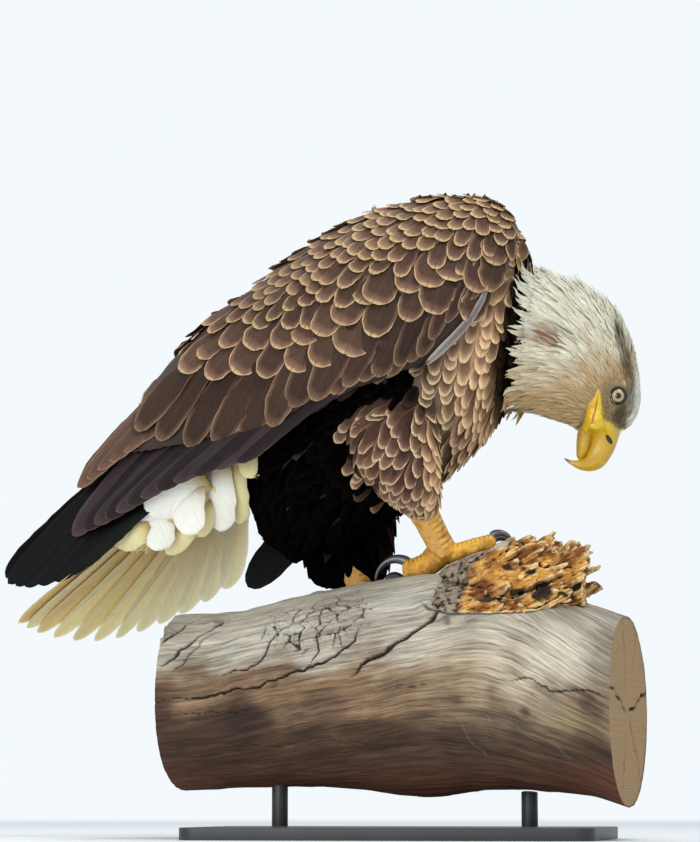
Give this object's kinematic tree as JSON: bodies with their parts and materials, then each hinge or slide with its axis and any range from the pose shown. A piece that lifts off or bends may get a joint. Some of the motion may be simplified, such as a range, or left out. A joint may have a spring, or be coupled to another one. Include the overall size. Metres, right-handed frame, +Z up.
{
  "type": "bald eagle",
  "caption": "Life-size adult bald eagle, head bowed and wings folded, gripping a short weathered log on a flat display stand with two rods",
  "frame": {"origin": "centre of the underside of the display stand's base plate, on the floor", "axes": "+X the way the bird's body faces, +Y its left side, +Z up"},
  "size_m": [0.6498, 0.3713, 0.6308],
  "materials": {
    "brown_feather": "matt brown body and wing feathers with pale buff edges",
    "flight_feather": "blackish brown flight feathers with a slight sheen",
    "white_feather": "white feathers of head, neck and tail, stained cream in places",
    "yellow_horn": "smooth yellow horn of the bill",
    "yellow_scale": "scaly yellow skin of shank and toes",
    "black_horn": "polished grey-black horn of the talons",
    "eye": "pale yellow iris and black pupil under a clear wet surface",
    "weathered_wood": "barkless grey weathered wood with drying cracks",
    "split_wood": "yellow-brown splintered wood of a broken limb",
    "painted_steel": "satin black powder-coated steel"
  },
  "bodies": {
    "root": {"trunk": "brown_feather", "neck": "white_feather", "head": "white_feather", "bill_upper": "yellow_horn", "bill_lower": "yellow_horn", "eye_right": "eye", "eye_left": "eye", "rump": "white_feather", "tail": "white_feather", "wing_right_coverts": "brown_feather", "wing_right_secondaries": "flight_feather", "wing_right_primaries": "flight_feather", "wing_left_coverts": "brown_feather", "wing_left_secondaries": "flight_feather", "wing_left_primaries": "flight_feather", "thigh_right": "brown_feather", "foot_right": "yellow_scale", "talon_right_hallux": "black_horn", "talon_right_inner": "black_horn", "talon_right_middle": "black_horn", "talon_right_outer": "black_horn", "thigh_left": "brown_feather", "foot_left": "yellow_scale", "talon_left_hallux": "black_horn", "talon_left_inner": "black_horn", "talon_left_middle": "black_horn", "talon_left_outer": "black_horn", "perch_log": "weathered_wood", "perch_stub": "split_wood", "stand_base": "painted_steel", "stand_rod_back": "painted_steel", "stand_rod_front": "painted_steel"}
  },
  "joints": []
}
